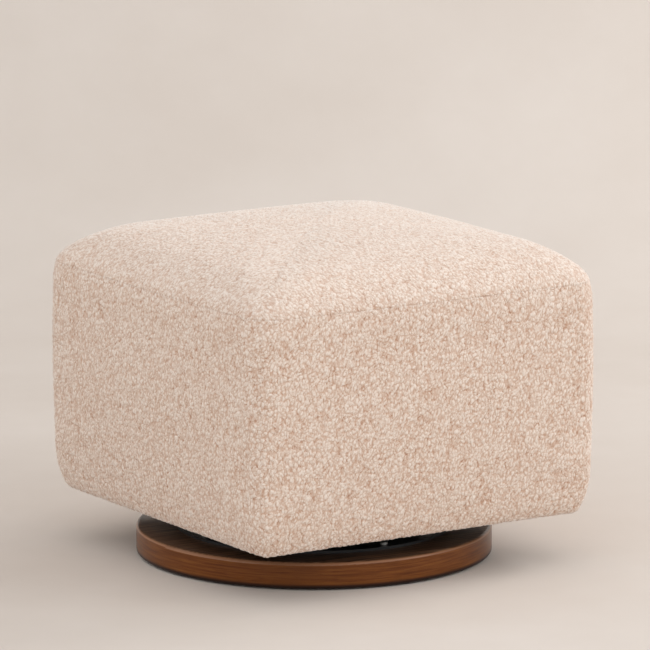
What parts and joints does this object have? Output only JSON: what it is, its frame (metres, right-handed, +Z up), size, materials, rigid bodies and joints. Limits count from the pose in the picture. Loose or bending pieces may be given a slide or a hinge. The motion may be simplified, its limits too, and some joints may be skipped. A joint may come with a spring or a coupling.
{
  "type": "glider ottoman",
  "caption": "Square upholstered ottoman in curly pile fabric that glides back and forth on hanging links over a low round wooden base.",
  "frame": {"origin": "on the floor, under the middle of the upholstered body", "axes": "+Z up, the front is the -Y side, left is -X and right is +X seen from the front; it glides along Y"},
  "size_m": [0.508, 0.499, 0.4023],
  "materials": {
    "walnut": "satin",
    "pad_rubber": "matte",
    "black_steel": "satin",
    "zinc_steel": "satin",
    "bearing_steel": "polished",
    "plywood": "matte",
    "softwood": "matte",
    "foam": "matte",
    "pile_fabric": "matte",
    "dust_cloth": "matte"
  },
  "bodies": {
    "base": {"wood_base": "walnut", "floor_pads": "pad_rubber", "base_plate": "black_steel", "base_plate_screws": "zinc_steel", "left_tower": "black_steel", "right_tower": "black_steel", "tower_brace": "black_steel", "brace_bolts": "zinc_steel", "tower_bolts": "zinc_steel", "tower_weld_nuts": "zinc_steel", "rubber_stops": "pad_rubber", "upper_pivot_bolts": "zinc_steel", "upper_pivot_spacers": "zinc_steel", "upper_inner_races": "bearing_steel", "upper_pivot_nuts": "zinc_steel"},
    "front_left_link": {"front_left_link": "black_steel", "front_left_bearings": "bearing_steel"},
    "front_right_link": {"front_right_link": "black_steel", "front_right_bearings": "bearing_steel"},
    "rear_left_link": {"rear_left_link": "black_steel", "rear_left_bearings": "bearing_steel"},
    "rear_right_link": {"rear_right_link": "black_steel", "rear_right_bearings": "bearing_steel"},
    "seat": {"left_hanger": "black_steel", "right_hanger": "black_steel", "hanger_bolts": "zinc_steel", "hanger_tee_nuts": "zinc_steel", "lower_pivot_bolts": "zinc_steel", "lower_pivot_spacers": "zinc_steel", "lower_inner_races": "bearing_steel", "lower_pivot_nuts": "zinc_steel", "front_panel": "plywood", "rear_panel": "plywood", "left_panel": "plywood", "right_panel": "plywood", "front_slat": "softwood", "rear_slat": "softwood", "left_slat": "softwood", "right_slat": "softwood", "left_mount_rail": "softwood", "right_mount_rail": "softwood", "corner_posts": "softwood", "top_deck": "plywood", "frame_screws": "zinc_steel", "top_foam": "foam", "front_foam": "foam", "rear_foam": "foam", "left_foam": "foam", "right_foam": "foam", "top_cover": "pile_fabric", "front_cover": "pile_fabric", "rear_cover": "pile_fabric", "left_cover": "pile_fabric", "right_cover": "pile_fabric", "front_dust_cover": "dust_cloth", "rear_dust_cover": "dust_cloth", "left_dust_cover": "dust_cloth", "right_dust_cover": "dust_cloth", "hem_staples": "zinc_steel"}
  },
  "joints": [
    {"name": "glide", "type": "hinge", "parent": "base", "child": "front_left_link", "pos_m": [-0.108, -0.084, 0.194], "axis": [1, 0, 0], "range_deg": [-28, 28]},
    {"name": "front_right_swing", "type": "hinge", "parent": "base", "child": "front_right_link", "pos_m": [0.108, -0.084, 0.194], "axis": [1, 0, 0], "range_deg": [-28, 28]},
    {"name": "rear_left_swing", "type": "hinge", "parent": "base", "child": "rear_left_link", "pos_m": [-0.108, 0.066, 0.194], "axis": [1, 0, 0], "range_deg": [-28, 28]},
    {"name": "rear_right_swing", "type": "hinge", "parent": "base", "child": "rear_right_link", "pos_m": [0.108, 0.066, 0.194], "axis": [1, 0, 0], "range_deg": [-28, 28]},
    {"name": "seat_level", "type": "hinge", "parent": "front_left_link", "child": "seat", "pos_m": [-0.108, -0.084, 0.104], "axis": [1, 0, 0], "range_deg": [-28, 28]}
  ],
  "couplings": [
    {"joint": "front_right_swing", "follows": "glide", "ratio": 1},
    {"joint": "rear_left_swing", "follows": "glide", "ratio": 1},
    {"joint": "rear_right_swing", "follows": "glide", "ratio": 1},
    {"joint": "seat_level", "follows": "glide", "ratio": -1}
  ]
}
